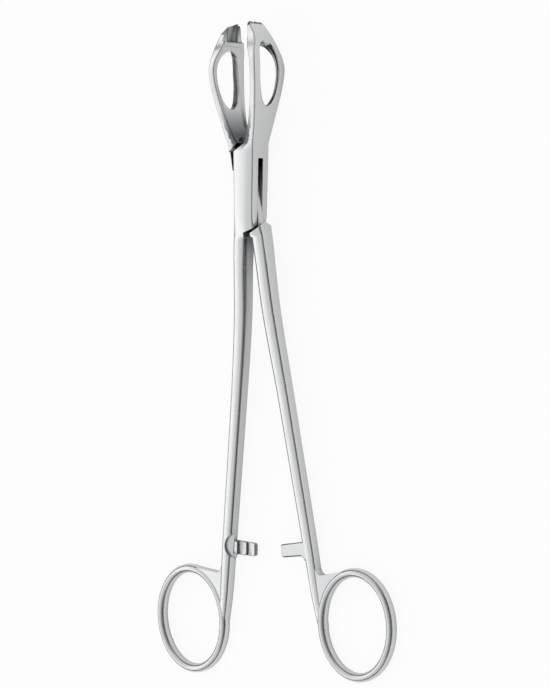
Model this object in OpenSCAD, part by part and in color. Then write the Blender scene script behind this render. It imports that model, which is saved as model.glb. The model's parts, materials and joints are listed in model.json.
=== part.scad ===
// Towel forceps with a box lock, fenestrated toothed jaws, a ratchet and two finger rings.
// Each lever is drawn closed, about the lock pin at the origin, with its jaw towards +Y.
// The box lever has its jaw on +X and its ring on -X; the tenon lever is its mirror image.

/* [Pose] */
// Angle between the levers as drawn, from tips closed, in degrees
rest_open = 9; // [0:0.5:25]

/* [Lock] */
// Width of the box across the jaws' opening direction
lock_w = 7.2; // [6.2:0.1:8]
// Depth of the box along the pin
lock_d = 7.7; // [6.4:0.1:9]
// Bevel along the edges of the box
lock_bevel = 0.45; // [0.3:0.05:0.9]
// Distance of the lock's middle from the closing plane of the jaws and shanks
lock_offset = 0.7; // [0:0.1:0.9]
// Height of the jaw shoulder above the pin
jaw_shoulder = 12.4; // [11:0.1:14]
// Depth of the shank shoulder below the pin
shank_shoulder = 13.6; // [12:0.1:16]
// Drop of the jaw shoulder's line from the middle to the side of the box
jaw_slope = 2.3; // [1:0.1:3]
// Rise of the shank shoulder's line from the middle to the side of the box
shank_slope = 1.4; // [1:0.1:2]
// Rise of the shank shoulder from the faces of the box to its mid-plane
shoulder_roof = 1.9; // [0:0.1:2.2]
// Gap between the shoulders of the two levers when closed
shoulder_gap = 0.35; // [0.25:0.05:0.8]
// Width of the mortise along the pin
mortise_w = 2.2; // [1.6:0.1:2.8]
// Height above and below the pin at which the mortise ends on its closed side
mortise_end = 8.2; // [7:0.1:9]
// Width of the tenon inside the mortise
tenon_w = 5; // [4.2:0.1:5.6]
// Clearance of the tenon in the mortise, on each face
tenon_gap = 0.05; // [0.02:0.01:0.1]
// Diameter of the lock pin
pin_d = 2.6; // [1.8:0.1:3.2]
// Clearance between the pin and the tenon's bore, on the radius
pin_gap = 0.04; // [0.02:0.01:0.09]

/* [Jaws] */
// Distance from the pin to the tips
tip_reach = 47.1; // [42:0.1:56]
// Greatest width of a jaw, along the pin
jaw_w = 14.2; // [12.4:0.1:17]
// Thickness of the jaw's wall beside the window
jaw_t = 2; // [1.6:0.1:2.3]
// Greatest distance of the jaw's back from the closing plane
jaw_bow = 5.9; // [5.2:0.05:7]
// Depth of the hollow in the jaw's inner face
jaw_hollow = 0.65; // [0.2:0.05:0.8]
// Width of the window
window_w = 8.6; // [6:0.1:9.6]
// Length of the window
window_l = 16.2; // [12:0.1:17]
// Height of the lip at the tip, down to its ledge
lip_h = 6.3; // [5.4:0.1:7]
// Spacing of the lip's teeth
tooth_pitch = 2.2; // [1.8:0.1:2.4]
// Depth of the grooves between the teeth
tooth_depth = 1.1; // [0.6:0.05:1.2]
// Gap between the two rows of teeth when closed
bite_gap = 0.2; // [0.15:0.05:0.5]
// Drop of the tenon lever's tip from its middle to its front corner
tip_slant = 0.9; // [0:0.1:1.5]

/* [Shanks] */
// Width of a shank below the lock
shank_top_w = 4.3; // [3.8:0.1:5]
// Depth of a shank below the lock, along the pin
shank_top_d = 5.2; // [4.4:0.1:5.8]
// Width of a shank at the ratchet
shank_low_w = 3.4; // [2.8:0.1:3.8]
// Depth of a shank at the ratchet, along the pin
shank_low_d = 3.7; // [3.2:0.1:4.4]
// Rounding of the shank's edges
shank_round = 1.05; // [0.5:0.05:1.25]
// Gap between the shanks below the lock when closed
shank_gap = 0.3; // [0.2:0.05:1]

/* [Ratchet] */
// Distance from the pin down to the middle of the ratchet
ratchet_reach = 104.5; // [92:0.1:106]
// Height of the ratchet arms
arm_h = 4.1; // [3.4:0.1:5.2]
// How far each arm crosses the closing plane when closed
arm_cross = 2.9; // [1.8:0.1:4.4]
// Thickness of a ratchet arm
arm_t = 1.65; // [1.3:0.05:1.8]
// Length of one ratchet tooth
ratchet_pitch = 3.4; // [1.6:0.1:3.6]
// Height of the ratchet's teeth
ratchet_tooth = 0.55; // [0.3:0.05:0.7]
// Gap between the two rows of ratchet teeth as they pass
ratchet_gap = 0.16; // [0.1:0.02:0.4]

/* [Rings] */
// Distance from the pin down to the middle of the rings
ring_reach = 127; // [122:0.5:140]
// Distance from the closing plane to the middle of a ring when closed
ring_side = 19.95; // [19:0.05:24]
// Inner width of a finger ring
ring_in_w = 21.1; // [18:0.1:22]
// Inner length of a finger ring
ring_in_l = 26.9; // [24:0.1:28]
// Width of the ring's band
ring_band = 2.6; // [2.2:0.1:3.2]
// Thickness of the ring's band, along the pin
ring_t = 3.65; // [3:0.05:4.4]
// Lean of the ring's long axis from the closing plane
ring_lean = 6; // [3:0.5:8]
// Thickness of the web between a ring and its shank
web_t = 2.9; // [2:0.1:3.2]
// Drop of the web's upper edge from the top of the ring to the shank
web_drop = 1; // [0.2:0.1:2]

/* [Hidden] */
steel = [0.78, 0.79, 0.8];
pin_steel = [0.7, 0.71, 0.72];
far = 60;
nudge = 0.04;

half_w = lock_w / 2;
half_d = lock_d / 2;
pin_r = pin_d / 2;
jaw_l = tip_reach - jaw_shoulder;
widest_at = jaw_shoulder + 0.6 * jaw_l;
ledge_at = tip_reach - lip_h;
window_top = ledge_at - 1.3;
window_foot = window_top - window_l;
tip_in = -(tooth_depth - bite_gap) / 2;
root_in = 0.12;
box_end = shank_shoulder + 1.2;
box_side_up = jaw_shoulder - jaw_slope;

// Half-axes of the ring's middle line
ring_a = (ring_in_l + ring_band) / 2;
ring_b = (ring_in_w + ring_band) / 2;

// Shank: straight from below the lock to the inner side of the ring
shank_bend_at = -38;
shank_top_x = -(shank_gap + shank_top_w) / 2;
shank_low_x = -(ring_side - ring_b * cos(ring_lean));

// Lengths over which jaw and shank swing over to the closing plane
jaw_drift_l = 0.75 * jaw_l;
shank_drift_l = 52;
// Share of the lock's offset that jaws and shanks have taken up at a place along the lever
function drift(y) =
    let (t = max(0, min(1, y > 0 ? (y - jaw_shoulder) / jaw_drift_l : (-y - shank_shoulder) / shank_drift_l)))
    lock_offset * t * t * (3 - 2 * t);

// Lying at rest: both jaws and the far ends of both rings touch the surface
half_open = rest_open / 2;
ring_mid_y = (ring_side - lock_offset) * sin(half_open) - ring_reach * cos(half_open);
lean_at_rest = ring_lean - half_open;
ring_far = norm([(ring_a + ring_band / 2) * cos(lean_at_rest), (ring_b + ring_band / 2) * sin(lean_at_rest)]);
front_end = tip_reach * cos(half_open) + (drift(tip_reach) - tip_in) * sin(half_open);
back_end = ring_mid_y - ring_far;
lie = atan((jaw_w / 2 - ring_t / 2) / (widest_at - back_end - ring_band / 2));
lift = jaw_w / 2 * cos(lie) - widest_at * sin(lie);
mid_y = (front_end + back_end) / 2 * cos(lie);

// Rows are [place, value, value, ...]; curve() runs a smooth line through one column
function row_below(rows, at) = max(0, min(len(rows) - 2, len([for (r = rows) if (r[0] <= at) 1]) - 1));
function grade(rows, i, k) =
    let (a = max(0, i - 1), b = min(len(rows) - 1, i + 1))
    (rows[b][k] - rows[a][k]) / (rows[b][0] - rows[a][0]);
function curve(rows, at, k) =
    let (i = row_below(rows, at),
         step = rows[i + 1][0] - rows[i][0],
         t = max(0, min(1, (at - rows[i][0]) / step)),
         m0 = grade(rows, i, k) * step,
         m1 = grade(rows, i + 1, k) * step)
    rows[i][k] * (2 * pow(t, 3) - 3 * t * t + 1) + m0 * (pow(t, 3) - 2 * t * t + t)
    + rows[i + 1][k] * (3 * t * t - 2 * pow(t, 3)) + m1 * (pow(t, 3) - t * t);
function blend(a, b, t) = a + (b - a) * max(0, min(1, t));

// Jaw, from shoulder to tip: share of its length, distance of its back, thickness, half width
jaw_rows = [
    [0, half_w, half_w - root_in, half_d],
    [0.12, jaw_bow * 0.745, jaw_t * 1.35, half_d + (jaw_w / 2 - half_d) * 0.17],
    [0.24, jaw_bow * 0.84, jaw_t * 1.12, half_d + (jaw_w / 2 - half_d) * 0.39],
    [0.42, jaw_bow * 0.965, jaw_t, half_d + (jaw_w / 2 - half_d) * 0.74],
    [0.6, jaw_bow, jaw_t, jaw_w / 2],
    [0.7, jaw_bow * 0.905, jaw_t * 1.08, jaw_w / 2 * 0.95],
    [0.78, jaw_bow * 0.775, jaw_t * 1.38, jaw_w / 2 * 0.81],
    [0.84, jaw_bow * 0.68, jaw_t * 1.57, jaw_w / 2 * 0.67],
    [0.9, jaw_bow * 0.51, jaw_bow * 0.51, jaw_w / 2 * 0.56],
    [0.95, jaw_bow * 0.29, jaw_bow * 0.29 - tip_in * 0.7, jaw_w / 2 * 0.51],
    [0.98, 0.9, 0.9 - tip_in, jaw_w / 2 * 0.46],
    [1, 0.25, 0.25 - tip_in, jaw_w / 2 * 0.35]
];
function jaw_share(y) = (y - jaw_shoulder) / jaw_l;
function jaw_back(y) = curve(jaw_rows, jaw_share(y), 1);
function jaw_face(y) = jaw_back(y) - curve(jaw_rows, jaw_share(y), 2);
function jaw_half(y) = curve(jaw_rows, jaw_share(y), 3);

// Shank, from the ring up to the box: place, middle, width, half depth
shank_end = -ring_reach - 3;
shank_rows = [
    [shank_end, shank_low_x, ring_band * 0.6, ring_t * 0.3],
    [-ring_reach, shank_low_x, ring_band * 0.86, ring_t * 0.4],
    [-ring_reach + 9, shank_low_x + 0.75, ring_band * 1.1, ring_t * 0.49],
    [-ratchet_reach, blend(shank_top_x, shank_low_x, (-ratchet_reach - shank_bend_at) / (-ring_reach - shank_bend_at)),
        shank_low_w, shank_low_d / 2],
    [-62, blend(shank_top_x, shank_low_x, (-62 - shank_bend_at) / (-ring_reach - shank_bend_at)),
        blend(shank_top_w, shank_low_w, 0.5), blend(shank_top_d, shank_low_d, 0.72) / 2],
    [shank_bend_at, shank_top_x - 0.1, shank_top_w, blend(shank_top_d, shank_low_d, 0.4) / 2],
    [-21, shank_top_x, shank_top_w, shank_top_d / 2],
    [-box_end, shank_top_x + 0.1, shank_top_w - 0.2, shank_top_d / 2 + 0.1]
];
function shank_left(y) = curve(shank_rows, y, 1) - curve(shank_rows, y, 2) / 2;
function shank_right(y) = curve(shank_rows, y, 1) + curve(shank_rows, y, 2) / 2;
function shank_half(y) = curve(shank_rows, y, 3);

// Box, between the shoulders: straight sides that meet the jaw and the shank
function box_left(y) =
    y > box_side_up ? blend(-half_w, root_in, (y - box_side_up) / (jaw_shoulder - box_side_up))
    : blend(-half_w, shank_left(-box_end), (-mortise_end - y) / (box_end - mortise_end));
function box_right(y) = blend(half_w, shank_right(-box_end), (-shank_shoulder - y) / (box_end - shank_shoulder));
function box_half(y) = blend(half_d, shank_half(-box_end), (-mortise_end - y) / (box_end - mortise_end));

// One section of the lever: [left, right, half depth, edge rounding, hollow of the left face]
function section_at(y) =
    y >= jaw_shoulder ?
        [jaw_face(y), jaw_back(y), jaw_half(y),
         min(lock_bevel, (jaw_back(y) - jaw_face(y)) * 0.28),
         y > ledge_at ? 0 : blend(0, jaw_hollow, (y - jaw_shoulder - 0.5) / 5)]
    : y >= -box_end ?
        [box_left(y), box_right(y), box_half(y), lock_bevel, 0]
    : [shank_left(y), shank_right(y), shank_half(y),
       min(shank_half(y) * 0.6, blend(lock_bevel, min(shank_round, ring_band * 0.4), (-box_end - y) / 8),
           (shank_right(y) - shank_left(y)) * 0.4), 0];

face_steps = [-1, -0.8, -0.5, -0.25, 0, 0.25, 0.5, 0.8, 1];
back_steps = [-1, -0.5, 0, 0.5, 1];
corner_turns = [30, 60];
// Outline of a section as [x, z] points, counted round from the back edge
function section_points(s) =
    let (left = s[0], right = s[1], half = s[2], r = s[3], hollow = s[4], flat = half - r)
    concat(
        [for (t = back_steps) [right, flat * t]],
        [for (a = corner_turns) [right - r + r * cos(a), flat + r * sin(a)]],
        [[right - r, half], [left + r, half]],
        [for (a = corner_turns) [left + r - r * sin(a), flat + r * cos(a)]],
        [for (t = face_steps) [left + hollow * min(1, 1.8 * (1 - t * t)), -flat * t]],
        [for (a = corner_turns) [left + r - r * cos(a), -flat - r * sin(a)]],
        [[left + r, -half], [right - r, -half]],
        [for (a = corner_turns) [right - r + r * sin(a), -flat - r * cos(a)]]
    );

// Places of the sections, closer together where the form turns
lever_places = concat(
    [for (i = [0:8]) blend(shank_end, shank_bend_at, i / 8)],
    [-30, -24, -20, -box_end - 2, -box_end, -shank_shoulder, -mortise_end, box_side_up, jaw_shoulder],
    [for (i = [1:14]) blend(jaw_shoulder, ledge_at - nudge, i / 14)],
    [for (i = [0:7]) blend(ledge_at + nudge, tip_reach, 1 - pow(1 - i / 7, 1.5))]
);

// Solid skinned through sections at rising places along Y; side is 1, or -1 for a lever to be mirrored
module skin(places, side) {
    rings = [for (y = places) [for (p = section_points(section_at(y))) [p[0] + side * drift(y), y, p[1]]]];
    ends = [for (y = [places[0], places[len(places) - 1]])
        [(section_at(y)[0] + section_at(y)[1]) / 2 + side * drift(y), y, 0]];
    n = len(rings[0]);
    last = len(rings) - 1;
    polyhedron(
        points = concat([for (r = rings, p = r) p], ends),
        faces = concat(
            [for (i = [0:n - 1]) [(last + 1) * n, (i + 1) % n, i]],
            [for (i = [0:n - 1]) [(last + 1) * n + 1, last * n + i, last * n + (i + 1) % n]],
            [for (k = [0:last - 1], i = [0:n - 1]) each [
                [k * n + i, (k + 1) * n + (i + 1) % n, (k + 1) * n + i],
                [k * n + i, k * n + (i + 1) % n, (k + 1) * n + (i + 1) % n]
            ]]
        ),
        convexity = 6
    );
}

// Points of the ring's middle line and of its rounded band, at a turn about the ring's middle
function ring_line(t) = [ring_b * cos(t), ring_a * sin(t)];
function ring_out(t) = let (v = [ring_a * cos(t), ring_b * sin(t)]) v / norm(v);
function soft(v, power) = sign(v) * pow(abs(v), power);

module ring_place() {
    translate([-ring_side, -ring_reach, 0]) rotate([0, 0, ring_lean]) children();
}

module finger_ring() {
    turns = 44;
    n = 14;
    ring_place() polyhedron(
        points = [for (k = [0:turns - 1], i = [0:n - 1])
            let (t = k * 360 / turns, a = (i + 0.5) * 360 / n,
                 p = ring_line(t) + ring_out(t) * ring_band / 2 * soft(cos(a), 0.8))
            [p[0], p[1], ring_t / 2 * soft(sin(a), 0.8)]],
        faces = [for (k = [0:turns - 1], i = [0:n - 1])
            let (k2 = (k + 1) % turns, i2 = (i + 1) % n)
            each [
                [k * n + i, k2 * n + i2, k2 * n + i],
                [k * n + i, k * n + i2, k2 * n + i2]
            ]],
        convexity = 6
    );
}

module oval(a, b) {
    polygon([for (i = [0:47]) [b * cos(i * 7.5), a * sin(i * 7.5)]]);
}

// Flat web that fills the corner between the ring's top and the shank, with a round inner corner
module ring_web() {
    top = -ring_reach + ring_a + ring_band / 2 - 0.4;
    corner = top - web_drop;
    edge = shank_left(corner);
    corner_r = 1.8;
    difference() {
        linear_extrude(web_t, center = true) difference() {
            polygon([
                [-ring_side + 2, top - 0.3],
                [edge - corner_r, corner],
                [edge, corner + corner_r],
                [edge + 1, corner + corner_r],
                [shank_low_x, -ring_reach + 2],
                [shank_low_x - 2, -ring_reach + 2]
            ]);
            translate([edge - corner_r, corner + corner_r]) circle(corner_r, $fn = 48);
        }
        ring_place() linear_extrude(far, center = true) oval(ring_a - ring_band * 0.3, ring_b - ring_band * 0.3);
    }
}

// Ratchet arm towards +X, teeth on its upper face; it starts inside the shank
module ratchet_arm() {
    start = shank_right(-ratchet_reach) - shank_low_w * 0.4;
    root = shank_right(-ratchet_reach);
    top = -ratchet_reach + arm_h / 2;
    bottom = -ratchet_reach - arm_h / 2;
    end_round = 0.9;
    root_round = 1.3;
    face = -ratchet_gap / 2;
    intersection() {
        linear_extrude(far, center = true) difference() {
            union() {
                polygon([
                    [start, top],
                    [arm_cross - end_round, top - 0.3],
                    [arm_cross, top - 0.3 - end_round],
                    [arm_cross, bottom + end_round],
                    [arm_cross - end_round, bottom],
                    [start, bottom]
                ]);
                polygon([[start, bottom - root_round], [root + root_round, bottom], [start, bottom + 1]]);
            }
            translate([root + root_round, bottom - root_round]) circle(root_round, $fn = 48);
        }
        translate([0, -ratchet_reach, 0]) rotate([90, 0, 0]) linear_extrude(far, center = true) polygon([
            [start, face - arm_t],
            [arm_cross - 0.5, face - arm_t],
            [arm_cross, face - arm_t + 0.5],
            [arm_cross, face - ratchet_tooth],
            [arm_cross - 0.6, face - 0.1],
            [arm_cross - ratchet_pitch, face - ratchet_tooth],
            [arm_cross - ratchet_pitch, face],
            [arm_cross - 2 * ratchet_pitch, face - ratchet_tooth],
            [arm_cross - 2 * ratchet_pitch, face],
            [start, face]
        ]);
    }
}

// Round flat left in the shank's front where the teeth are milled
module milling_cut() {
    translate([shank_right(-ratchet_reach) + 1.2, -ratchet_reach + 0.4, -ratchet_gap / 2 - 0.2])
        rotate([0, 26, 0]) cylinder(h = far, r = arm_h * 0.9, $fn = 96);
}

// Grooves between the teeth of the lip, open at the tip; they follow the slope of the lip's face
module groove_place(z) {
    groove_end = ledge_at + 1.1;
    turn = atan((jaw_face(groove_end) - tip_in) / (tip_reach - groove_end));
    translate([tip_in, tip_reach, z]) rotate([0, 0, turn]) rotate([90, 0, 0])
        translate([0, 0, -2]) linear_extrude(tip_reach - groove_end + 2) children();
}

// Three ridges, with a flat margin at each side
module three_ridges() {
    margin = tooth_depth / 4;
    for (side = [-1, 1]) {
        groove_place(side * tooth_pitch / 2) polygon([
            [tooth_depth, 0],
            [-tooth_depth, tooth_pitch],
            [-tooth_depth, -tooth_pitch]
        ]);
        groove_place(side * tooth_pitch) polygon([
            [margin, side * tooth_pitch / 8],
            [margin, side * jaw_w],
            [-tooth_depth, side * jaw_w],
            [-tooth_depth, -side * tooth_pitch / 2]
        ]);
    }
}

// Three grooves that take the ridges, margins to match, and a front corner that slants down
module three_grooves() {
    margin = tooth_depth * 3 / 4;
    groove_place(0) polygon([[tooth_depth, 0], [-tooth_depth, tooth_pitch], [-tooth_depth, -tooth_pitch]]);
    for (side = [-1, 1]) groove_place(side * tooth_pitch) polygon([
        [tooth_depth, 0],
        [margin, side * tooth_pitch / 8],
        [margin, side * jaw_w],
        [-tooth_depth, side * jaw_w],
        [-tooth_depth, -side * tooth_pitch]
    ]);
    translate([0, tip_reach, 0]) rotate([90, 0, 90]) linear_extrude(far, center = true) polygon([
        [0, -tooth_pitch / 2],
        [-tip_slant, tooth_pitch],
        [-tip_slant * 3.4, tooth_pitch * 1.8],
        [-tip_slant * 3.4, jaw_w],
        [2, jaw_w],
        [2, -tooth_pitch / 2]
    ]);
}

// Window through the jaw, square to its curved wall: the oval grows and climbs towards the jaw's back
module window_cut() {
    turns = 48;
    climb = 1.2;
    rings = [for (x = [0, jaw_bow + 2])
        let (up = window_top + climb * (x - jaw_bow * 0.43), down = window_foot - 0.3 * (x - jaw_bow * 0.6))
        [for (i = [0:turns - 1]) let (a = i * 360 / turns)
            [x, (up + down) / 2 + (up - down) / 2 * sin(a), window_w / 2 * cos(a)]]];
    polyhedron(
        points = concat(rings[0], rings[1], [[0, window_foot + 1, 0], [jaw_bow + 2, window_foot + 1, 0]]),
        faces = [for (i = [0:turns - 1]) let (j = (i + 1) % turns) each [
            [i, j, turns + j],
            [i, turns + j, turns + i],
            [2 * turns, j, i],
            [2 * turns + 1, turns + i, turns + j]
        ]],
        convexity = 4
    );
}

// What both levers share: jaw, body, shank and ring, before the lock and the arm are cut
module lever_blank(side) {
    difference() {
        skin(lever_places, side);
        translate([side * drift(window_foot), 0, 0]) window_cut();
        translate([side * drift(tip_reach), 0, 0]) children();
    }
    translate([side * lock_offset, 0, 0]) {
        finger_ring();
        ring_web();
    }
}

// Mortise through the box: open on both sides, closed beside the jaw and beside the shank
module mortise() {
    side = tenon_w / 2 + 2 * tenon_gap;
    linear_extrude(mortise_w, center = true) polygon([
        [far, mortise_end],
        [side, mortise_end],
        [root_in, jaw_shoulder + 0.5],
        [-far, jaw_shoulder + 1.5],
        [-far, -mortise_end],
        [-side, -mortise_end],
        [-root_in, -shank_shoulder - 0.3],
        [far, -shank_shoulder - 1.5]
    ]);
}

// Room below the box for the other lever's shank: its top slopes up to the side and, like a roof, to the middle
module below_roof(drop, start) {
    reach = half_w + 3;
    depth = half_d + 2;
    bottom = -box_end - 0.5;
    rings = [for (x = [start, reach])
        let (ridge = -shank_shoulder - drop + shoulder_roof + shank_slope * x / half_w,
             eave = ridge - shoulder_roof * depth / half_d)
        [[x, bottom, -depth], [x, eave, -depth], [x, ridge, 0], [x, eave, depth], [x, bottom, depth]]];
    polyhedron(
        points = concat(rings[0], rings[1]),
        faces = concat(
            [[0, 1, 2, 3, 4], [9, 8, 7, 6, 5]],
            [for (i = [0:4]) let (j = (i + 1) % 5) [i, i + 5, j + 5, j]]
        )
    );
}

module box_lever_form() {
    difference() {
        union() {
            difference() {
                lever_blank(1) three_ridges();
                translate([lock_offset, 0, 0]) milling_cut();
            }
            translate([lock_offset, 0, 0]) ratchet_arm();
        }
        mortise();
        below_roof(0, -root_in);
        cylinder(h = far, r = pin_r, center = true, $fn = 64);
    }
}

// Everything of the mirrored lever that would lie where the box is
module box_room() {
    up_grade = jaw_slope / half_w;
    difference() {
        linear_extrude(far, center = true) polygon([
            [-far, jaw_shoulder + shoulder_gap - up_grade * far],
            [0.3, jaw_shoulder + shoulder_gap + up_grade * 0.3],
            [far, jaw_shoulder + shoulder_gap + 0.5],
            [far, -box_end - 0.4],
            [-far, -box_end - 0.4]
        ]);
        below_roof(shoulder_gap, root_in);
    }
}

module tenon() {
    side = tenon_w / 2;
    linear_extrude(mortise_w - 2 * tenon_gap, center = true) polygon([
        [-root_in - 0.05, jaw_shoulder + 2],
        [-side, jaw_shoulder + 2],
        [-side, -mortise_end + 0.2],
        [0, -shank_shoulder],
        [root_in + 0.2, -shank_shoulder - 2],
        [side, -shank_shoulder - 2],
        [side, mortise_end - 0.2],
        [-root_in - 0.05, jaw_shoulder]
    ]);
}

// Wedge that runs down from the tenon lever's jaw beside the box, clear of its side when closed
module side_wedge() {
    inner = half_w + 0.15;
    linear_extrude(lock_d * 0.68, center = true) polygon([
        [-inner, jaw_shoulder - 7.2],
        [-inner, box_side_up + 0.4],
        [-half_w * 0.83, box_side_up + 1.1],
        [-half_w * 0.83, jaw_shoulder + 5.5],
        [-half_w * 1.19, jaw_shoulder + 5.5],
        [-inner - 0.3, jaw_shoulder - 0.9]
    ]);
}

module tenon_lever_form() {
    difference() {
        union() {
            difference() {
                mirror([1, 0, 0]) lever_blank(-1) three_grooves();
                box_room();
            }
            translate([lock_offset, 0, 0]) mirror([1, 0, 0]) mirror([0, 0, 1]) ratchet_arm();
            tenon();
            side_wedge();
        }
        cylinder(h = far, r = pin_r + pin_gap, center = true, $fn = 64);
    }
}

module lay_down() {
    translate([-lock_offset * cos(half_open), -mid_y, lift]) rotate([lie, 0, 0]) children();
}

module box_lever() {
    color(steel) lay_down() rotate([0, 0, -half_open]) box_lever_form();
}

module tenon_lever() {
    color(steel) lay_down() rotate([0, 0, half_open]) tenon_lever_form();
}

module lock_pin() {
    color(pin_steel) lay_down() cylinder(h = lock_d, r = pin_r, center = true, $fn = 64);
}

box_lever();
tenon_lever();
lock_pin();
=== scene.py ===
import bpy
import json
import math
import numpy as np
from mathutils import Euler, Matrix, Vector


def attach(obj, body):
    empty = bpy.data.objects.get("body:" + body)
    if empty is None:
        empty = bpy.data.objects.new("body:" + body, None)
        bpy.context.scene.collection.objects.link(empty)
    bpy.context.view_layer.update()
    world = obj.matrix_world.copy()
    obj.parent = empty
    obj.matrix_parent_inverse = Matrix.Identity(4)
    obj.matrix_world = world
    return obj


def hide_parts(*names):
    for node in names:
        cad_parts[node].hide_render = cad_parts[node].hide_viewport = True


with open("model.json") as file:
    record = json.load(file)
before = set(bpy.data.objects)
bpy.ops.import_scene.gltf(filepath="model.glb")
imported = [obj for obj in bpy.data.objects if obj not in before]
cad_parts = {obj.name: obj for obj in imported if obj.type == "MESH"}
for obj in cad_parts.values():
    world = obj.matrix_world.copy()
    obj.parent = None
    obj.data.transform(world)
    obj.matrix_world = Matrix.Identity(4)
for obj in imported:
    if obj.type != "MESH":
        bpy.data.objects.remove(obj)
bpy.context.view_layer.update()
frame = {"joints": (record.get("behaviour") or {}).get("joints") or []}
mm = 0.001

# Sizes in millimetres, as in the part's source, apart from those marked "skin only". Each lever is worked
# out closed, about the lock pin at the origin, with its jaw towards +Y; the tenon lever is the mirrored one.
# Squareness, crown and ridge are powers of the sections' superellipse, squarer as they grow: skin only.
lock = {
    "opened": 9, "width": 7.2, "depth": 7.7, "bevel": 0.45, "offset": 0.7,
    "jawShoulder": 12.4, "shankShoulder": 13.6, "jawSlope": 2.3, "shankSlope": 1.4, "roof": 1.9, "gap": 0.35,
    "mortise": 2.2, "mortiseEnd": 8.2, "tenon": 5, "play": 0.05, "pin": 2.6, "pinPlay": 0.04, "seam": 0.12,
    "squareness": 9, "crown": 2.7, "ridge": 6,
}
jaw = {
    "reach": 47.1, "width": 14.2, "wall": 2, "bow": 5.9, "hollow": 0.65,
    "windowWidth": 8.3, "windowLength": 15.9,  # skin only: smaller than the solids' window, before its rims
    "windowBelow": 1.3, "windowClimb": 1.2,
    "rim": 0.25, "rimWide": 0.9, "rimDepth": 1.4,  # skin only: rounding at the back, and at the inner face
    "lip": 6.3, "toothPitch": 2.2, "toothDepth": 1.1, "bite": 0.2, "slant": 0.9,
}
shank = {
    "topWidth": 4.3, "topDepth": 5.2, "lowWidth": 3.4, "lowDepth": 3.7, "rounding": 1.05, "gap": 0.3,
    "bend": -38, "driftLength": 52, "squareness": 5, "crown": 3.4, "ridge": 3.6, "innerRidge": 2.5,
}
ratchet = {
    "reach": 104.5, "height": 4.1, "cross": 2.9, "thickness": 1.65, "pitch": 3.4, "tooth": 0.55, "gap": 0.16,
    "endRound": 0.9, "rootRound": 1.3,
    "edge": 0.42, "millingTilt": 18,  # skin only: chamfer, and a flatter cut than in the solids
}
ring = {
    "reach": 127, "side": 19.95, "width": 21.1, "length": 26.9, "band": 2.6, "thickness": 3.65, "lean": 6,
    "web": 2.9, "webDrop": 1, "webCorner": 1.8,
    "softness": 1.0,  # skin only: 1 is a round band
}

hinge = frame["joints"][0]
pivot = Vector(hinge["pos_m"])
pinAxis = Vector(hinge["axis"]).normalized()
lockBasis = Matrix((Vector((1, 0, 0)), pinAxis.cross(Vector((1, 0, 0))), pinAxis)).transposed()

halfWidth, halfDepth = lock["width"] / 2, lock["depth"] / 2
pinEnd = halfDepth - 0.5  # skin only: the pin stops below the cheeks' faces
jawLength = jaw["reach"] - lock["jawShoulder"]
ledge = jaw["reach"] - jaw["lip"]
windowTop = ledge - jaw["windowBelow"]
windowFoot = windowTop - jaw["windowLength"]
crest = -(jaw["toothDepth"] - jaw["bite"]) / 2
boxEnd = lock["shankShoulder"] + 1.2
boxSideTop = lock["jawShoulder"] - lock["jawSlope"]
ringHigh = (ring["length"] + ring["band"]) / 2
ringWide = (ring["width"] + ring["band"]) / 2
lean = math.radians(ring["lean"])
far, past = 60, 9  # reach of a cutter past the whole instrument, and past one of its details


def mix(a, b, t):
    return a + (b - a) * np.clip(t, 0, 1)


def smoothLine(rows, at, column):
    # cubic from row to row; the slope at a row is that between its two neighbours
    place, value = rows[:, 0], rows[:, column]
    before = np.maximum(np.arange(len(rows)) - 1, 0)
    after = np.minimum(np.arange(len(rows)) + 1, len(rows) - 1)
    slope = (value[after] - value[before]) / (place[after] - place[before])
    i = np.clip(np.searchsorted(place, at, side="right") - 1, 0, len(rows) - 2)
    step = place[i + 1] - place[i]
    t = np.clip((at - place[i]) / step, 0, 1)
    return (value[i] * (2 * t ** 3 - 3 * t * t + 1) + slope[i] * step * (t ** 3 - 2 * t * t + t)
            + value[i + 1] * (3 * t * t - 2 * t ** 3) + slope[i + 1] * step * (t ** 3 - t * t))


# Jaw: share of its length, distance of its back from the closing plane, thickness, half width
bow, wall, flare = jaw["bow"], jaw["wall"], jaw["width"] / 2
jawRows = np.array([
    [0, halfWidth, halfWidth - lock["seam"], halfDepth],
    [0.12, bow * 0.745, wall * 1.35, halfDepth + (flare - halfDepth) * 0.17],
    [0.24, bow * 0.84, wall * 1.12, halfDepth + (flare - halfDepth) * 0.39],
    [0.42, bow * 0.965, wall, halfDepth + (flare - halfDepth) * 0.74],
    [0.6, bow, wall, flare],
    [0.7, bow * 0.905, wall * 1.08, flare * 0.95],
    [0.78, bow * 0.775, wall * 1.38, flare * 0.81],
    [0.84, bow * 0.68, wall * 1.57, flare * 0.67],
    [0.9, bow * 0.51, bow * 0.51, flare * 0.56],
    [0.95, bow * 0.29, bow * 0.29 - crest * 0.7, flare * 0.51],
    [0.98, 0.9, 0.9 - crest, flare * 0.46],
    [1, 0.25, 0.25 - crest, flare * 0.35],
])

# Shank: place, middle, width, half depth
topX = -(shank["gap"] + shank["topWidth"]) / 2
lowX = -(ring["side"] - ringWide * math.cos(lean))
shankEnd = -ring["reach"] - 3


def onStraight(y):
    return mix(topX, lowX, (y - shank["bend"]) / (-ring["reach"] - shank["bend"]))


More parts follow.
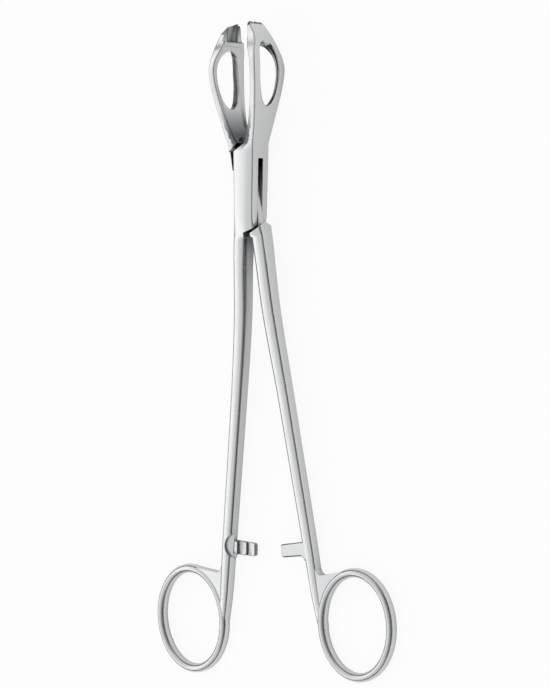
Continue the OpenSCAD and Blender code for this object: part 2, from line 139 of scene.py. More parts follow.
shankRows = np.array([
    [shankEnd, lowX, ring["band"] * 0.6, ring["thickness"] * 0.3],
    [-ring["reach"], lowX, ring["band"] * 0.86, ring["thickness"] * 0.4],
    [-ring["reach"] + 9, lowX + 0.75, ring["band"] * 1.1, ring["thickness"] * 0.49],
    [-ratchet["reach"], onStraight(-ratchet["reach"]), shank["lowWidth"], shank["lowDepth"] / 2],
    [-62, onStraight(-62), mix(shank["topWidth"], shank["lowWidth"], 0.5),
     mix(shank["topDepth"], shank["lowDepth"], 0.72) / 2],
    [shank["bend"], topX - 0.1, shank["topWidth"], mix(shank["topDepth"], shank["lowDepth"], 0.4) / 2],
    [-21, topX, shank["topWidth"], shank["topDepth"] / 2],
    [-boxEnd, topX + 0.1, shank["topWidth"] - 0.2, shank["topDepth"] / 2 + 0.1],
])


def jawBack(y):
    return smoothLine(jawRows, (y - lock["jawShoulder"]) / jawLength, 1)


def jawFace(y):
    return jawBack(y) - smoothLine(jawRows, (y - lock["jawShoulder"]) / jawLength, 2)


def jawHalf(y):
    return smoothLine(jawRows, (y - lock["jawShoulder"]) / jawLength, 3)


def shankEdge(y, side):
    return smoothLine(shankRows, y, 1) + side * smoothLine(shankRows, y, 2) / 2


def shankHalf(y):
    return smoothLine(shankRows, y, 3)


def drift(y):
    # sideways swing of jaw and shank from the lock's middle to the closing plane, a smooth step
    jawShare = (y - lock["jawShoulder"]) / (0.75 * jawLength)
    shankShare = (-y - lock["shankShoulder"]) / shank["driftLength"]
    t = np.clip(np.where(y > 0, jawShare, shankShare), 0, 1)
    return lock["offset"] * t * t * (3 - 2 * t)


def section(y):
    # of each section at y: its two edges, half depth, rounding, and hollow of the inner face
    isJaw = y >= lock["jawShoulder"]
    isBox = ~isJaw & (y >= -boxEnd)
    shoulderShare = (-lock["mortiseEnd"] - y) / (boxEnd - lock["mortiseEnd"])
    boxLeft = np.where(y > boxSideTop,
                       mix(-halfWidth, lock["seam"], (y - boxSideTop) / (lock["jawShoulder"] - boxSideTop)),
                       mix(-halfWidth, shankEdge(-boxEnd, -1), shoulderShare))
    endShare = (-lock["shankShoulder"] - y) / (boxEnd - lock["shankShoulder"])
    boxRight = mix(halfWidth, shankEdge(-boxEnd, 1), endShare)
    boxHalf = mix(halfDepth, shankHalf(-boxEnd), shoulderShare)
    left = np.where(isJaw, jawFace(y), np.where(isBox, boxLeft, shankEdge(y, -1)))
    right = np.where(isJaw, jawBack(y), np.where(isBox, boxRight, shankEdge(y, 1)))
    half = np.where(isJaw, jawHalf(y), np.where(isBox, boxHalf, shankHalf(y)))
    jawRound = np.minimum(lock["bevel"], (right - left) * 0.28)
    shankRound = mix(lock["bevel"], min(shank["rounding"], ring["band"] * 0.4), (-boxEnd - y) / 8)
    shankRound = np.minimum(np.minimum(half * 0.6, shankRound), (right - left) * 0.4)
    rounding = np.where(isJaw, jawRound, np.where(isBox, lock["bevel"], shankRound))
    hollow = np.where(isJaw & (y <= ledge), mix(0, jaw["hollow"], (y - lock["jawShoulder"] - 0.5) / 5), 0)
    return left, right, half, rounding, hollow


def closedGrid(rows, cols, wrapRows):
    # quads of a grid whose columns wrap round, and whose rows wrap round too if asked
    i = np.arange(rows if wrapRows else rows - 1)[:, None]
    j = np.arange(cols)[None, :]
    i2, j2 = (i + 1) % rows, (j + 1) % cols
    return np.stack([i * cols + j, i * cols + j2, i2 * cols + j2, i2 * cols + j], -1).reshape(-1, 4)


def makeSolid(name, grid, wrapRows=False):
    # closed skin over a grid of points (rows, columns, 3); open ends get a fan about their middle
    rows, cols = grid.shape[:2]
    points = grid.reshape(-1, 3)
    faces = closedGrid(rows, cols, wrapRows).tolist()
    if not wrapRows:
        points = np.vstack([points, grid[0].mean(0), grid[-1].mean(0)])
        ahead = (np.arange(cols) + 1) % cols
        faces += np.stack([ahead, np.arange(cols), np.full(cols, rows * cols)], -1).tolist()
        last = (rows - 1) * cols
        faces += np.stack([last + np.arange(cols), last + ahead, np.full(cols, rows * cols + 1)], -1).tolist()
    return link(name, points, faces)


def link(name, points, faces):
    # volume by the divergence theorem tells whether the faces look outwards
    volume = sum(np.dot(points[f[0]], np.cross(points[f[k]], points[f[k + 1]]))
                 for f in faces for k in range(1, len(f) - 1))
    mesh = bpy.data.meshes.new(name)
    mesh.from_pydata(points.tolist(), [], faces if volume > 0 else [f[::-1] for f in faces])
    piece = bpy.data.objects.new(name, mesh)
    bpy.context.scene.collection.objects.link(piece)
    return piece


def makePrism(name, outline, low, high, axes="xyz"):
    # outline in its own two axes, drawn out along the third from low to high
    outline = np.array(outline, float)
    ends = [np.column_stack([outline, np.full(len(outline), h)]) for h in (low, high)]
    points = np.vstack(ends)[:, [axes.index(a) for a in "xyz"]]
    n = len(outline)
    sides = [[i, (i + 1) % n, n + (i + 1) % n, n + i] for i in range(n)]
    return link(name, points, [list(range(n))[::-1], list(range(n, 2 * n))] + sides)


def turned(points, degrees, centre=(0, 0)):
    # outline or points turned about the Z direction
    a = math.radians(degrees)
    x, y = points[..., 0] - centre[0], points[..., 1] - centre[1]
    out = points.copy()
    out[..., 0] = centre[0] + x * math.cos(a) - y * math.sin(a)
    out[..., 1] = centre[1] + x * math.sin(a) + y * math.cos(a)
    return out


def move(piece, change):
    # puts a change of all points, an array function, into the mesh
    mesh = piece.data
    co = np.empty(len(mesh.vertices) * 3)
    mesh.vertices.foreach_get("co", co)
    mesh.vertices.foreach_set("co", np.asarray(change(co.reshape(-1, 3)), float).ravel())
    mesh.update()
    return piece


def combine(body, tools, operation):
    # boolean with each tool in turn, the result kept as plain mesh
    for tool in tools:
        step = body.modifiers.new("step", "BOOLEAN")
        step.operation = operation
        step.object = tool
        step.solver = "MANIFOLD"
    shaped = bpy.data.meshes.new_from_object(body.evaluated_get(bpy.context.evaluated_depsgraph_get()))
    body.modifiers.clear()
    body.data = shaped
    for tool in tools:
        bpy.data.objects.remove(tool)
    return body


def mirrored(piece):
    # other side of the closing plane, faces turned back outwards
    move(piece, lambda p: p * (-1, 1, 1))
    piece.data.flip_normals()
    return piece


def leverSkin(side):
    # jaw, box and shank as one skin: rounded rectangle sections that follow the rows above
    arc = np.radians(np.linspace(0, 90, 8))
    y = np.unique(np.concatenate([
        np.linspace(shankEnd, shank["bend"], 90), np.linspace(shank["bend"], -boxEnd, 40),
        [-lock["shankShoulder"], -lock["mortiseEnd"], boxSideTop],
        np.linspace(lock["jawShoulder"], ledge - 0.04, 110),
        ledge + 0.04 + (jaw["lip"] - 0.04) * (1 - (1 - np.linspace(0, 1, 26)) ** 1.5)]))
    left, right, half, r, hollow = [v[:, None] for v in section(y)]
    flat, inset = half - r, (right - left) / 2 - r
    middle = (left + right) / 2
    run, faceRun = np.linspace(-1, 1, 9)[None, 1:-1], np.linspace(1, -1, 21)[None, 1:-1]
    corners = [(right - r, flat, 0), (left + r, flat, 90), (left + r, -flat, 180), (right - r, -flat, 270)]
    bends = [(cx + r * np.cos(arc + math.radians(a)), cz + r * np.sin(arc + math.radians(a)))
             for cx, cz, a in corners]
    runs = [
        (right + 0 * run, flat * run),
        (middle - inset * run, half + 0 * run),
        (left + hollow * np.minimum(1, 1.8 * (1 - faceRun ** 2)), flat * faceRun),
        (middle + inset * run, 0 * run - half),
    ]
    x, z = [np.hstack([part[i] for k in range(4) for part in (runs[k], bends[k])]) for i in (0, 1)]
    # box and shank are drawn onto a superellipse, |u|^a + |v|^b = 1, crowned above and softest at the edge
    # towards +X; each step divides by how far a point is off it, until it lies on it
    place = y[:, None]
    u, v = (x - middle) / ((right - left) / 2), z / half
    above, below = v > 0, np.clip((-boxEnd - place) / 8, 0, 1)
    square = lock["squareness"] + (shank["squareness"] - lock["squareness"]) * below
    a = np.where(above, lock["crown"] + (shank["crown"] - lock["crown"]) * below, square)
    ridge = shank["innerRidge" if side > 0 else "ridge"]
    b = np.where(above & (side * u > 0), lock["ridge"] + (ridge - lock["ridge"]) * below, square)
    scale = np.ones_like(u)
    for _ in range(30):
        scale /= (np.abs(scale * u) ** a + np.abs(scale * v) ** b) ** (1 / np.maximum(a, b))
    share = np.clip((boxSideTop - place) / 3, 0, 1)
    x = x + share * (middle + (x - middle) * scale - x)
    z = z * (1 + share * (scale - 1))
    grid = np.stack([x + side * drift(y)[:, None], np.broadcast_to(place, x.shape), z], -1)
    return makeSolid("lever", grid)


def fingerRing(side):
    # band with a soft square section, carried round an ellipse
    t = np.radians(np.arange(0, 360, 2.25))[:, None]
    a = np.radians((np.arange(28) + 0.5) * 360 / 28)[None, :]
    outX, outY = ringHigh * np.cos(t), ringWide * np.sin(t)
    size = np.hypot(outX, outY)
    across = ring["band"] / 2 * np.sign(np.cos(a)) * np.abs(np.cos(a)) ** ring["softness"]
    x = ringWide * np.cos(t) + outX / size * across
    y = ringHigh * np.sin(t) + outY / size * across
    z = ring["thickness"] / 2 * np.sign(np.sin(a)) * np.abs(np.sin(a)) ** ring["softness"] + 0 * t
    grid = turned(np.stack([x, y, z], -1), ring["lean"])
    return makeSolid("ring", grid + (side * lock["offset"] - ring["side"], -ring["reach"], 0), True)


def ellipse(high, wide, degrees, centre):
    t = np.radians(np.arange(0, 360, 3))
    return turned(np.stack([wide * np.cos(t), high * np.sin(t)], -1), degrees) + centre


def ringWeb(side):
    # plate in the corner between ring and shank, cut by the ring's inside and by a round corner
    top = -ring["reach"] + ringHigh + ring["band"] / 2 - 0.4
    corner, cornerRound, shift = top - ring["webDrop"], ring["webCorner"], side * lock["offset"]
    edge = float(shankEdge(corner, -1))
    half = ring["web"] / 2
    outline = np.array([
        [-ring["side"] + 2, top - 0.3], [edge - cornerRound, corner], [edge, corner + cornerRound],
        [edge + 1, corner + cornerRound], [lowX, -ring["reach"] + 2], [lowX - 2, -ring["reach"] + 2]])
    plate = makePrism("web", outline + (shift, 0), -half, half)
    inside = ellipse(ringHigh - ring["band"] * 0.3, ringWide - ring["band"] * 0.3, ring["lean"],
                     (shift - ring["side"], -ring["reach"]))
    roundCorner = ellipse(cornerRound, cornerRound, 0, (shift + edge - cornerRound, corner + cornerRound))
    cutters = [makePrism("inside", inside, -past, past), makePrism("corner", roundCorner, -past, past)]
    return combine(plate, cutters, "DIFFERENCE")


def arcAt(x, y, radius, angles):
    # points of a circle about (x, y) at the given angles
    return np.stack([x + radius * np.cos(angles), y + radius * np.sin(angles)], -1)


def ratchetArm(side):
    # the plan of the arm, chamfered by setting its first and last layers in, crossed with its toothed profile
    shift = side * lock["offset"]
    root = float(shankEdge(-ratchet["reach"], 1))
    start, end = root - shank["lowWidth"] * 0.4, ratchet["cross"]
    top, bottom = -ratchet["reach"] + ratchet["height"] / 2, -ratchet["reach"] - ratchet["height"] / 2
    endRound, rootRound, face = ratchet["endRound"], ratchet["rootRound"], -ratchet["gap"] / 2
    fillet = arcAt(root + rootRound, bottom - rootRound, rootRound, np.radians(np.arange(90, 181, 9)))
    quarter = np.radians(np.arange(0, 91, 15))
    tip = arcAt(end - endRound, top - 0.3 - endRound, endRound, quarter)
    foot = arcAt(end - endRound, bottom + endRound, endRound, -quarter[::-1])
    plan = np.vstack([[[start, top]], tip[::-1], foot[::-1], fillet, [[start, bottom - rootRound]]])
    low, tooth, pitch, edge = face - ratchet["thickness"], ratchet["tooth"], ratchet["pitch"], ratchet["edge"]
    ahead, behind = np.roll(plan, -1, 0) - plan, plan - np.roll(plan, 1, 0)
    ahead, behind = [v / np.linalg.norm(v, axis=1)[:, None] for v in (ahead, behind)]
    inward = np.stack([-(ahead + behind)[:, 1], (ahead + behind)[:, 0]], -1)
    clockwise = np.sum(plan[:, 0] * ahead[:, 1] - plan[:, 1] * ahead[:, 0]) < 0
    inward *= (-2 if clockwise else 2) / np.sum(inward ** 2, axis=1)[:, None]
    over, inset, rise = 0.05, edge + 0.07, edge * 0.72
    rows = [(low - over, inset), (low + rise, 0), (face - rise, 0), (face + over, inset)]
    layers = [np.column_stack([plan + (shift, 0) + inward * w, np.full(len(plan), z)]) for z, w in rows]
    arm = makeSolid("arm", np.array(layers))
    profile = np.array([
        [start, low], [end - 0.5, low], [end, low + 0.5], [end, face - tooth], [end - 0.6, face - 0.1],
        [end - pitch, face - tooth], [end - pitch, face],
        [end - 2 * pitch, face - tooth], [end - 2 * pitch, face], [start, face]])
    centre = -ratchet["reach"]
    teeth = makePrism("teeth", profile + (shift, 0), centre - past, centre + past, "xzy")
    return combine(arm, [teeth], "INTERSECT")


def window(side):
    # oval loft along X whose ends widen in a quarter round where they leave the jaw's two faces
    a = np.radians(np.arange(0, 360, 3.75))

    def oval(x):
        up = windowTop + jaw["windowClimb"] * (x - bow * 0.43)
        down = windowFoot - 0.3 * (x - bow * 0.6)
        middle, high = (up + down) / 2, (up - down) / 2
        return middle + high * np.sin(a), jaw["windowWidth"] / 2 * np.cos(a), high

    # where the oval meets the jaw's back and its hollowed face, closer with each step

    back, face = np.full(len(a), bow), np.full(len(a), bow - wall)
    for _ in range(12):
        back = jawBack(oval(back)[0])
        y, z, _high = oval(face)
        flat = jawHalf(y) - lock["bevel"]
        face = jawFace(y) + jaw["hollow"] * np.minimum(1, 1.8 * np.clip(1 - (z / flat) ** 2, 0, 1))
    turn = np.radians([62, 50, 38, 25, 12, 0])
    inward, widening = 1 - np.sin(turn), 1 - np.cos(turn)
    faceRows = [(face + d * jaw["rimDepth"], w * jaw["rimWide"]) for d, w in zip(inward, widening)]
    backRows = [(back - d * jaw["rim"], w * jaw["rim"]) for d, w in zip(inward[::-1], widening[::-1])]
    faceRows = [(face - 1.2, widening[0] * jaw["rimWide"] + 0.6)] + faceRows
    backRows += [(back + 1.2, widening[0] * jaw["rim"] + 0.6)]
    rows, shift = [], side * drift(windowFoot)
    for x, wide in faceRows + backRows:
        y, z, high = oval(x)
        outY, outZ = np.sin(a) / high, np.cos(a) / (jaw["windowWidth"] / 2)
        size = np.hypot(outY, outZ)
        rows.append(np.stack([x + shift, y + wide * outY / size, z + wide * outZ / size], -1))
    return makeSolid("window", np.array(rows))


def grooveAt(side, z, outline):
    # groove along the lip's face, from the tip down past its lowest tooth
    end = ledge + 1.1
    slope = math.degrees(math.atan((float(jawFace(end)) - crest) / (jaw["reach"] - end)))
    groove = makePrism("groove", np.array(outline), -(jaw["reach"] - end), 2, "xzy")

    def place(p):
        p = turned(p, slope)
        return p + (crest + side * float(drift(jaw["reach"])), jaw["reach"], z)
    return move(groove, place)


def ridges(side):
    # cutters that leave three ridges: two notches, and a flat margin at each side
    p, d, margin = jaw["toothPitch"], jaw["toothDepth"], jaw["toothDepth"] / 4
    tools = []
    for s in (-1, 1):
        outer = [[margin, s * p / 8], [margin, s * past], [-d, s * past], [-d, -s * p / 2]]
        tools += [grooveAt(side, s * p / 2, [[d, 0], [-d, p], [-d, -p]]), grooveAt(side, s * p, outer)]
    return tools


def grooves(side):
    # cutters for three grooves that take the ridges, and for the front corner that slants down
    p, d, margin = jaw["toothPitch"], jaw["toothDepth"], jaw["toothDepth"] * 3 / 4
    tools = [grooveAt(side, 0, [[d, 0], [-d, p], [-d, -p]])]
    for s in (-1, 1):
        outer = [[d, 0], [margin, s * p / 8], [margin, s * past], [-d, s * past], [-d, -s * p]]
        tools.append(grooveAt(side, s * p, outer))
    slant, top = jaw["slant"], jaw["reach"]
    corner = [[top, -p / 2], [top - slant, p], [top - slant * 3.4, p * 1.8], [top - slant * 3.4, past],
              [top + 2, past], [top + 2, -p / 2]]
    return tools + [makePrism("corner", corner, -far, far, "yzx")]


def leverBlank(side, teeth):
    blank = combine(leverSkin(side), [window(side)] + teeth(side), "DIFFERENCE")
    return combine(blank, [fingerRing(side), ringWeb(side)], "UNION")


def belowRoof(drop, start):
    # room under the box for the other lever's shank; its top rises to the side and to the middle plane
    reach, depth, bottom = halfWidth + 3, halfDepth + 2, -boxEnd - 0.5
    x = np.array([start, reach])
    ridge = -lock["shankShoulder"] - drop + lock["roof"] + lock["shankSlope"] * x / halfWidth
    eave = ridge - lock["roof"] * depth / halfDepth
    low = np.full(2, bottom)
    z = np.array([-depth, -depth, 0, depth, depth])
    heights = np.stack([low, eave, ridge, eave, low], -1)
    grid = np.stack([np.repeat(x[:, None], 5, 1), heights, np.repeat(z[None], 2, 0)], -1)
    return makeSolid("roof", grid)


def boxLever():
    play, tenonHalf, seam = lock["play"], lock["tenon"] / 2, lock["seam"]
    top, bottom, end = lock["jawShoulder"], -lock["shankShoulder"], lock["mortiseEnd"]
    mortise = [[far, end], [tenonHalf + 2 * play, end], [seam, top + 0.5], [-far, top + 1.5],
               [-far, -end], [-tenonHalf - 2 * play, -end], [-seam, bottom - 0.3], [far, bottom - 1.5]]
    flatAt = (float(shankEdge(-ratchet["reach"], 1)) + 1.2 + lock["offset"], -ratchet["reach"] + 0.4)
    flatRadius = ratchet["height"] * 0.9
    milling = makePrism("milling", ellipse(flatRadius, flatRadius, 0, (0, 0)), 0, far)
    tilt = Matrix.Rotation(math.radians(ratchet["millingTilt"]), 3, "Y")
    move(milling, lambda p: p @ np.array(tilt).T + (*flatAt, -ratchet["gap"] / 2 - 0.2))
    body = combine(leverBlank(1, ridges), [milling], "DIFFERENCE")
    body = combine(body, [ratchetArm(1)], "UNION")
    bore = makePrism("bore", ellipse(lock["pin"] / 2, lock["pin"] / 2, 0, (0, 0)), -pinEnd, pinEnd)
    slot = makePrism("mortise", mortise, -lock["mortise"] / 2, lock["mortise"] / 2)
    return combine(body, [slot, belowRoof(0, -lock["seam"]), bore], "DIFFERENCE")


def tenonLever():
    gap, grade, seam = lock["gap"], lock["jawSlope"] / halfWidth, lock["seam"]
    top, bottom, end = lock["jawShoulder"], -lock["shankShoulder"], lock["mortiseEnd"]
    shoulder, tenonHalf = top + gap, lock["tenon"] / 2
    room = makePrism("room", [
        [-far, shoulder - grade * far], [0.3, shoulder + grade * 0.3], [far, shoulder + 0.5],
        [far, -boxEnd - 0.4], [-far, -boxEnd - 0.4]], -far, far)
    combine(room, [belowRoof(gap, seam)], "DIFFERENCE")
    body = combine(mirrored(leverBlank(-1, grooves)), [room], "DIFFERENCE")
    half = lock["mortise"] / 2 - lock["play"]
    tenon = makePrism("tenon", [
        [-seam - 0.05, top + 2], [-tenonHalf, top + 2], [-tenonHalf, -end + 0.2], [0, bottom],
        [seam + 0.2, bottom - 2], [tenonHalf, bottom - 2], [tenonHalf, end - 0.2],
        [-seam - 0.05, top]], -half, half)
    arm = move(mirrored(ratchetArm(-1)), lambda p: p * (1, 1, -1))
    arm.data.flip_normals()
    inner, outer, deep = halfWidth + 0.15, halfWidth * 0.83, lock["depth"] * 0.34
    wedge = makePrism("wedge", [
        [-inner, top - 7.2], [-inner, boxSideTop + 0.4], [-outer, boxSideTop + 1.1],
        [-outer, top + 5.5], [-halfWidth * 1.19, top + 5.5], [-inner - 0.3, top - 0.9]], -deep, deep)
    body = combine(body, [arm, tenon, wedge], "UNION")
    radius = lock["pin"] / 2 + lock["pinPlay"]
    return combine(body, [makePrism("bore", ellipse(radius, radius, 0, (0, 0)), -far, far)], "DIFFERENCE")


def lockPin():
    # its riveted ends are ground away into the cheeks, so it stops below them
    return makePrism("pin", ellipse(lock["pin"] / 2, lock["pin"] / 2, 0, (0, 0)), -pinEnd, pinEnd)


# Shares of painted shade in the steel's colour; for shank and arm, 1 is the box lever and -1 the tenon lever.
# At the jaws' root it goes from full to none over the fade, which ends at the reach, in millimetres.
shadeShares = {
    "rootReach": 11, "rootFade": 8, "window": 0.9, "jawEnd": 0.9,
    "shank": {1: 0.15, -1: 0.4}, "arm": {1: 0.6, -1: 1},
}


def paintedShadeAt(p, side):
    # share of painted shade at each point, in the lever's own closed place: the root of the jaws' inner
    # faces, the walls of the windows, the grooves of the teeth, the arms' sides and the shanks' faces towards
    # each other
    x, y, z = side * (p[:, 0] - drift(p[:, 1])), p[:, 1], np.abs(p[:, 2])
    back, face = jawBack(y), jawFace(y)
    above, below = y - lock["jawShoulder"], lock["jawShoulder"] + shadeShares["rootReach"] - y
    fade = np.clip((above + 1.5) * 2, 0, 1) * np.clip(below / shadeShares["rootFade"], 0, 1)
    root = (x < (back + face) / 2) * fade
    along = np.abs(y - (windowTop + windowFoot) / 2) / (jaw["windowLength"] / 2)
    wall = (x > face + jaw["hollow"] + 0.1) & (x < back - 0.02)
    wall &= (z < jaw["windowWidth"] / 2 + 0.6) & (along < 1.12)
    ends = np.clip((along - 0.62) * 5, 0, 1) if side > 0 else 1  # on the box lever only the window's two ends
    middle = (shankEdge(y, -1) + shankEdge(y, 1)) / 2
    onShank = (y < -boxEnd) & (y > -ratchet["reach"] + 4)
    inside = np.clip((x - middle) / smoothLine(shankRows, y, 2) * 6 - 1.6, 0, 1) * onShank
    toothed = (y > ledge + 0.2) & (z < jaw["toothPitch"] * 1.6) & (x < crest + jaw["toothDepth"] + 0.2)
    groove = np.clip((x - crest) / jaw["toothDepth"] * 1.3, 0, 1)
    depth = np.where(y > jaw["reach"] - 0.1, shadeShares["jawEnd"], groove)
    arm = (np.abs(y + ratchet["reach"]) < ratchet["height"] / 2 + 0.1) & (x > shankEdge(y, 1) + 0.3)
    armSide = arm & (z > ratchet["gap"] / 2 + 0.2) & (z < ratchet["gap"] / 2 + ratchet["thickness"] - 0.2)
    shares = [root, shadeShares["window"] * wall * ends, shadeShares["shank"][side] * inside, toothed * depth,
              shadeShares["arm"][side] * armSide]
    return np.max(shares, axis=0)


def layDown(piece, name, degrees, body, node):
    # from the lock's own millimetres to the frame, turned open about the pin
    basis = np.array(lockBasis)
    co = np.empty(len(piece.data.vertices) * 3)
    piece.data.vertices.foreach_get("co", co)
    # painted shade for the steel's colour, kept in the attribute "dull"
    dull = paintedShadeAt(co.reshape(-1, 3), 1 if degrees < 0 else -1) * (degrees != 0)
    piece.data.attributes.new("dull", "FLOAT", "POINT").data.foreach_set("value", dull.astype(float))
    move(piece, lambda p: (turned(p, degrees) * mm) @ basis.T + np.array(pivot))
    piece.name = name
    for polygon in piece.data.polygons:
        polygon.use_smooth = True
    piece.data.set_sharp_from_angle(angle=math.radians(32))
    # large flat faces keep their own normal next to the roundings
    even = piece.modifiers.new("even shading", "WEIGHTED_NORMAL")
    even.keep_sharp = True
    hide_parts(node)
    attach(piece, body)
    print(name, len(piece.data.polygons), "faces")
    return piece


def hexColour(code):
    # sRGB hex to linear RGBA
    parts = [int(code[i:i + 2], 16) / 255 for i in (1, 3, 5)]
    return [p / 12.92 if p <= 0.04045 else ((p + 0.055) / 1.055) ** 2.4 for p in parts] + [1]


def addNode(tree, kind, settings=None, links=None):
    # one node, its settings by attribute or socket name, and what feeds its sockets
    node = tree.nodes.new(kind)
    for name, value in (settings or {}).items():
        if name in node.inputs:
            node.inputs[name].default_value = value
        else:
            setattr(node, name, value)
    for name, source in (links or {}).items():
        tree.links.new(source, node.inputs[name])
    return node


# Camera: its place about the lock pin in millimetres and its turn in degrees, both by the lock's own axes
view = {"spot": (450.269, -36.784, 567.775), "turn": (-2.8141, 37.9448, -3.4624), "lens": 165.13}


def makeCamera():
    data = bpy.data.cameras.new("camera")
    data.lens = view["lens"]
    data.sensor_width = 36
    data.sensor_fit = "HORIZONTAL"
    data.clip_start = 0.01
    data.clip_end = 20
    camera = bpy.data.objects.new("camera", data)
    bpy.context.scene.collection.objects.link(camera)
    turn = (lockBasis @ Euler([math.radians(a) for a in view["turn"]]).to_matrix()).to_4x4()
    camera.matrix_world = Matrix.Translation(pivot + lockBasis @ (Vector(view["spot"]) * mm)) @ turn
    bpy.context.scene.camera = camera


# Roughness from smooth to dull; edge, reach and grain in millimetres. The painted shade darkens the colour to
# "hollow" where the next surface is near, and more where the attribute "dull" says so.
steel = {
    "colour": "#d9dadb", "smooth": 0.2, "dull": 0.3, "edge": 0.28, "hollow": "#4a4d50", "shadeReach": 6.0,
    "grainLength": 3.0, "grainWidth": 0.18, "grainHeight": 0.004,
}


def satinSteel():
    # stainless steel, ground and satin polished along its length: a soft mirror with faint lengthwise grain
    material = bpy.data.materials.new("stainless steel, satin polished")
    material.use_nodes = True
    tree = material.node_tree
    tree.nodes.clear()
    place = addNode(tree, "ShaderNodeTexCoord").outputs["Object"]
    # grain drawn coarser than real polishing lines of 0.02 mm, so that it shows
    across, lengthwise = 1 / (steel["grainWidth"] * mm), 1 / (steel["grainLength"] * mm)
    along = addNode(tree, "ShaderNodeMapping", {"Scale": (across, lengthwise, across)}, {"Vector": place})
    grain = addNode(tree, "ShaderNodeTexNoise", {"Scale": 1, "Detail": 3, "Roughness": 0.6},
                    {"Vector": along.outputs["Vector"]})
    # clouds of about 6 mm, where the polish is a little less even
    cloud = addNode(tree, "ShaderNodeTexNoise", {"Scale": 160, "Detail": 2}, {"Vector": place})
    both = addNode(tree, "ShaderNodeMath", {"operation": "MULTIPLY_ADD"})
    tree.links.new(grain.outputs["Fac"], both.inputs[0])
    both.inputs[1].default_value = 0.6
    tree.links.new(cloud.outputs["Fac"], both.inputs[2])
    rough = addNode(tree, "ShaderNodeMapRange",
                    {"From Min": 0.5, "From Max": 1.1, "To Min": steel["smooth"], "To Max": steel["dull"]},
                    {"Value": both.outputs[0]})
    soft = addNode(tree, "ShaderNodeBevel", {"samples": 6, "Radius": steel["edge"] * mm})
    bump = addNode(tree, "ShaderNodeBump", {"Strength": 0.35, "Distance": steel["grainHeight"] * mm},
                   {"Height": grain.outputs["Fac"], "Normal": soft.outputs["Normal"]})
    # painted shade: the colour goes to the dark grey where the next surface is near, and where "dull" says so
    reach = steel["shadeReach"] * mm
    nearby = addNode(tree, "ShaderNodeAmbientOcclusion", {"samples": 8, "Distance": reach})
    openShare = addNode(tree, "ShaderNodeMapRange", {"From Min": 0.25, "From Max": 0.62},
                      {"Value": nearby.outputs["AO"]})
    tone = addNode(tree, "ShaderNodeMix", {"data_type": "RGBA"})
    tone.inputs[6].default_value = hexColour(steel["hollow"])
    tone.inputs[7].default_value = hexColour(steel["colour"])
    # the attribute "dull" holds the share of painted shade
    dull = addNode(tree, "ShaderNodeAttribute", {"attribute_name": "dull"})
    bright = addNode(tree, "ShaderNodeMapRange", {"To Min": 1, "To Max": 0.1}, {"Value": dull.outputs["Fac"]})
    unshadedShare = addNode(tree, "ShaderNodeMath", {"operation": "MULTIPLY"})
    tree.links.new(openShare.outputs["Result"], unshadedShare.inputs[0])
    tree.links.new(bright.outputs["Result"], unshadedShare.inputs[1])
    tree.links.new(unshadedShare.outputs[0], tone.inputs[0])
    shader = addNode(tree, "ShaderNodeBsdfPrincipled", {"Metallic": 1}, {
        "Base Color": tone.outputs[2], "Roughness": rough.outputs["Result"],
        "Normal": bump.outputs["Normal"]})
    addNode(tree, "ShaderNodeOutputMaterial", {}, {"Surface": shader.outputs["BSDF"]})
    return material


def showWhite(tree, shader, share, shareInSteel):
    # shows the surface white by the given share, to the eye and in reflections
    path = addNode(tree, "ShaderNodeLightPath")
    seen = addNode(tree, "ShaderNodeMath", {"operation": "MAXIMUM"})
    tree.links.new(path.outputs["Is Camera Ray"], seen.inputs[0])
    tree.links.new(path.outputs["Is Transmission Ray"], seen.inputs[1])
    straight = addNode(tree, "ShaderNodeMath", {"operation": "MULTIPLY"})
    tree.links.new(seen.outputs[0], straight.inputs[0])
    straight.inputs[1].default_value = share
    both = addNode(tree, "ShaderNodeMath", {"operation": "MULTIPLY_ADD"})
    tree.links.new(path.outputs["Is Glossy Ray"], both.inputs[0])
    both.inputs[1].default_value = shareInSteel
    tree.links.new(straight.outputs[0], both.inputs[2])
    glow = addNode(tree, "ShaderNodeEmission", {"Color": (1, 1, 1, 1), "Strength": 1})
    blend = addNode(tree, "ShaderNodeMixShader")
    tree.links.new(both.outputs[0], blend.inputs[0])
    tree.links.new(shader, blend.inputs[1])
    tree.links.new(glow.outputs[0], blend.inputs[2])
    return blend.outputs[0]


def makeFloor():
    # heavy matt paper: an even white that takes the shadow
    size = 3
    mesh = bpy.data.meshes.new("floor")
    corners = [(-size, -size, 0), (size, -size, 0), (size, size, 0), (-size, size, 0)]
    mesh.from_pydata(corners, [], [(0, 1, 2, 3)])
    floor = bpy.data.objects.new("floor", mesh)
    bpy.context.scene.collection.objects.link(floor)
    material = bpy.data.materials.new("paper, matt white")
    material.use_nodes = True
    tree = material.node_tree
    tree.nodes.clear()
    paper = addNode(tree, "ShaderNodeBsdfDiffuse", {"Color": hexColour("#f4f4f4")})
    addNode(tree, "ShaderNodeOutputMaterial", {}, {"Surface": showWhite(tree, paper.outputs[0], 0.92, 0.4)})
    mesh.materials.append(material)


# Studio: angles in degrees from straight up, towards +X; distances in metres; the softbox is long in Y.
# Each card is an angle it starts at, one it ends at, and its shade.
studio = {
    "sky": 0.8, "softboxAngle": -54, "softboxSize": (2.2, 0.7), "softboxPower": 2.9, "distance": 1.2,
    "cards": ((22, 58, 0.4), (58, 90, 0.06)), "cardDistance": 0.9, "wallShade": 0.15, "wallHeight": 0.44,
}


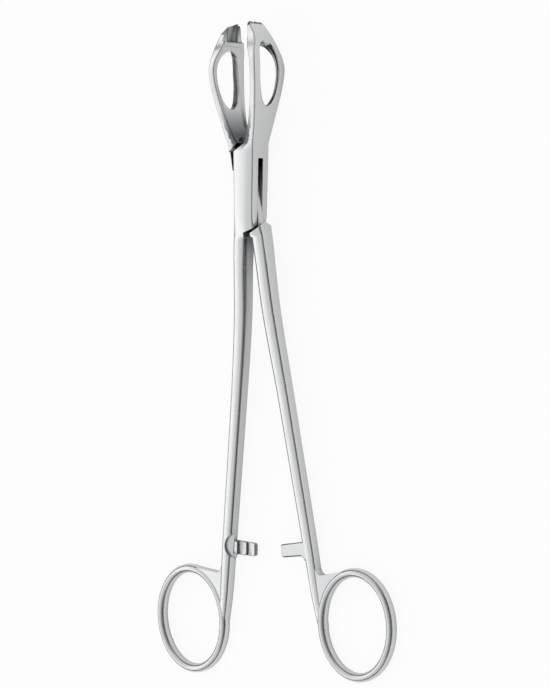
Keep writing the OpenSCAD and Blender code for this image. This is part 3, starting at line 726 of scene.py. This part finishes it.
def makeLight():
    world = bpy.data.worlds.new("studio")
    bpy.context.scene.world = world
    world.use_nodes = True
    tree = world.node_tree
    tree.nodes.clear()
    sky = addNode(tree, "ShaderNodeBackground", {"Color": (1, 1, 1, 1), "Strength": studio["sky"]})
    addNode(tree, "ShaderNodeOutputWorld", {}, {"Surface": sky.outputs[0]})
    data = bpy.data.lights.new("softbox", "AREA")
    data.shape = "RECTANGLE"
    data.size, data.size_y = studio["softboxSize"]
    data.energy = studio["softboxPower"]
    lamp = bpy.data.objects.new("softbox", data)
    bpy.context.scene.collection.objects.link(lamp)
    a = math.radians(studio["softboxAngle"])
    lamp.location = (studio["distance"] * math.sin(a), 0, studio["distance"] * math.cos(a))
    lamp.rotation_euler = (Vector((0, 0, 0)) - lamp.location).to_track_quat("-Z", "Y").to_euler()


def makeCard(name, points, faces, shade):
    mesh = bpy.data.meshes.new(name)
    mesh.from_pydata(points, [], faces)
    card = bpy.data.objects.new(name, mesh)
    bpy.context.scene.collection.objects.link(card)
    material = bpy.data.materials.new(name + ", grey")
    material.use_nodes = True
    tree = material.node_tree
    tree.nodes.clear()
    glow = addNode(tree, "ShaderNodeEmission", {"Color": (1, 1, 1, 1), "Strength": shade})
    addNode(tree, "ShaderNodeOutputMaterial", {}, {"Surface": glow.outputs[0]})
    mesh.materials.append(material)
    card.visible_camera = card.visible_diffuse = card.visible_shadow = card.visible_transmission = False


def makeCards():
    # a grey and a dark card on the camera's side and a dark wall all round: only reflections see them,
    # where they draw the edges of the steel
    r, deep, around = studio["cardDistance"], 1, 24
    for low, high, shade in studio["cards"]:
        corners = [(math.radians(a), y) for a, y in ((low, -deep), (high, -deep), (high, deep), (low, deep))]
        makeCard("card", [(r * math.sin(a), y, r * math.cos(a)) for a, y in corners], [(0, 1, 2, 3)], shade)
    wallRadius, step = 1.2 * r, 2 * math.pi / around
    points = [(wallRadius * math.cos(step * i), wallRadius * math.sin(step * i), h)
              for h in (0, studio["wallHeight"]) for i in range(around)]
    faces = [(i, (i + 1) % around, around + (i + 1) % around, around + i) for i in range(around)]
    makeCard("wall", points, faces, studio["wallShade"])


makeCamera()
satin = satinSteel()
print("camera and steel")
pieces = [
    layDown(boxLever(), "boxLever", -lock["opened"] / 2, "box_half", "box_lever"),
    layDown(tenonLever(), "tenonLever", lock["opened"] / 2, "tenon_half", "tenon_lever"),
    layDown(lockPin(), "lockPin", 0, "box_half", "lock_pin"),
]
for piece in pieces:
    piece.data.materials.clear()
    piece.data.materials.append(satin)
makeFloor()
makeLight()
makeCards()
print("floor, light and cards")
bpy.context.scene.view_settings.view_transform = "Standard"
